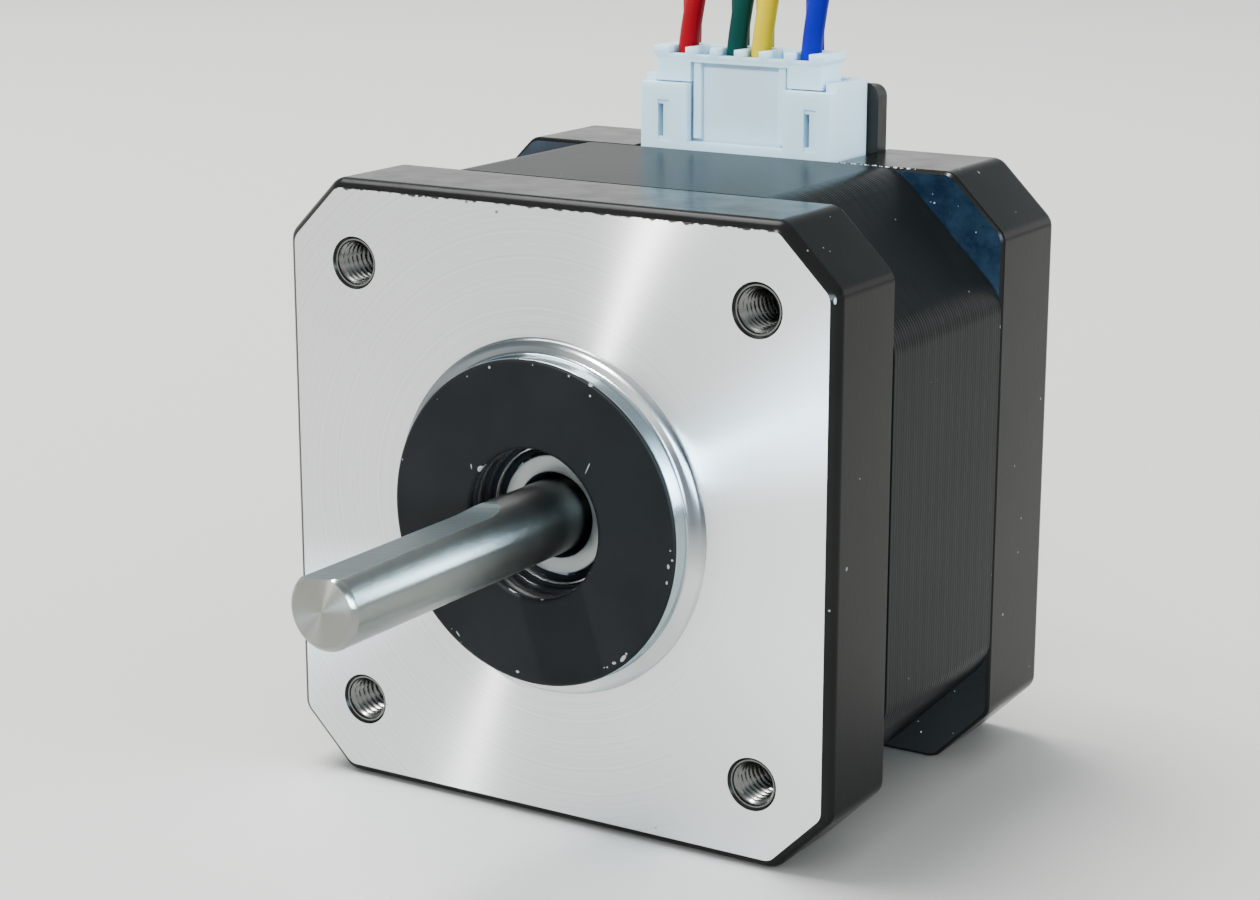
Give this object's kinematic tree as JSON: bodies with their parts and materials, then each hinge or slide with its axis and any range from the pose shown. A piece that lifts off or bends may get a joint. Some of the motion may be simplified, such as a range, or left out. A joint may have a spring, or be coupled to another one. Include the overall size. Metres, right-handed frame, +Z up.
{
  "type": "stepper motor",
  "caption": "Square-flanged hybrid stepper motor with a round pilot boss, a D-cut output shaft, a plug-in connector on top and a coiled four-wire lead.",
  "frame": {"origin": "middle of the motor's length and width, on the surface its square body rests on; the lead is left out of the measure", "axes": "+Z up towards the connector, -Y out along the output shaft, +X to the right seen from the shaft side"},
  "size_m": [0.0632, 0.1124, 0.0661],
  "materials": {
    "black_paint": "satin black paint on die-cast aluminium, with the mounting face machined bare",
    "stack_paint": "thin satin blue-black lacquer over ground lamination edges",
    "bobbin_plastic": "ivory glass-filled nylon",
    "enamelled_copper": "enamelled copper wire",
    "zinc_steel": "zinc-plated steel",
    "white_nylon": "translucent bluish-white nylon",
    "black_plastic": "black moulded plastic",
    "contact_metal": "tin-plated brass",
    "circuit_board": "green solder mask on glass-epoxy board",
    "ground_steel": "ground bare steel",
    "rotor_iron": "ground laminated iron",
    "magnet": "dark sintered magnet",
    "bearing_steel": "polished bearing steel",
    "wire_red": "red insulation with a soft gloss",
    "wire_green": "green insulation with a soft gloss",
    "wire_yellow": "yellow insulation with a soft gloss",
    "wire_blue": "blue insulation with a soft gloss",
    "wire_bundle": "coil of the four coloured wires"
  },
  "bodies": {
    "housing": {"cable_coil": "wire_bundle", "cable_plug": "white_nylon", "cable_tie": "black_plastic", "coil_1": "enamelled_copper", "coil_2": "enamelled_copper", "coil_3": "enamelled_copper", "coil_4": "enamelled_copper", "coil_5": "enamelled_copper", "coil_6": "enamelled_copper", "coil_7": "enamelled_copper", "coil_8": "enamelled_copper", "connector_backing": "black_plastic", "connector_socket": "white_nylon", "contact_blue": "contact_metal", "contact_green": "contact_metal", "contact_red": "contact_metal", "contact_yellow": "contact_metal", "front_bearing_front_shield": "bearing_steel", "front_bearing_outer_ring": "bearing_steel", "front_bearing_rear_shield": "bearing_steel", "front_bobbin": "bobbin_plastic", "front_end_bell": "black_paint", "lead_board": "circuit_board", "lead_housing": "black_plastic", "rear_bearing_front_shield": "bearing_steel", "rear_bearing_outer_ring": "bearing_steel", "rear_bearing_rear_shield": "bearing_steel", "rear_bobbin": "bobbin_plastic", "rear_end_bell": "black_paint", "screw_1": "zinc_steel", "screw_2": "zinc_steel", "screw_3": "zinc_steel", "screw_4": "zinc_steel", "stator_stack": "stack_paint", "terminal_pin_1": "contact_metal", "terminal_pin_2": "contact_metal", "terminal_pin_3": "contact_metal", "terminal_pin_4": "contact_metal", "terminal_pin_5": "contact_metal", "terminal_pin_6": "contact_metal", "wave_washer": "bearing_steel", "wire_blue": "wire_blue", "wire_blue_tail": "wire_blue", "wire_green": "wire_green", "wire_green_tail": "wire_green", "wire_red": "wire_red", "wire_red_tail": "wire_red", "wire_yellow": "wire_yellow", "wire_yellow_tail": "wire_yellow"},
    "rotor": {"shaft": "ground_steel", "rotor_cup_front": "rotor_iron", "rotor_cup_rear": "rotor_iron", "rotor_magnet": "magnet", "front_spacer": "ground_steel", "rear_spacer": "ground_steel", "front_bearing_inner_ring": "bearing_steel", "rear_bearing_inner_ring": "bearing_steel"},
    "front_balls": {"front_bearing_balls": "bearing_steel"},
    "rear_balls": {"rear_bearing_balls": "bearing_steel"}
  },
  "joints": [
    {"name": "shaft_spin", "type": "hinge", "parent": "housing", "child": "rotor", "pos_m": [0, -0.0045, 0.02115], "axis": [0, -1, 0], "continuous": true},
    {"name": "front_balls_spin", "type": "hinge", "parent": "housing", "child": "front_balls", "pos_m": [0, -0.0012, 0.02115], "axis": [0, -1, 0], "continuous": true},
    {"name": "rear_balls_spin", "type": "hinge", "parent": "housing", "child": "rear_balls", "pos_m": [0, 0.0239, 0.02115], "axis": [0, -1, 0], "continuous": true}
  ],
  "couplings": [
    {"joint": "front_balls_spin", "follows": "shaft_spin", "ratio": 0.38},
    {"joint": "rear_balls_spin", "follows": "shaft_spin", "ratio": 0.38}
  ]
}
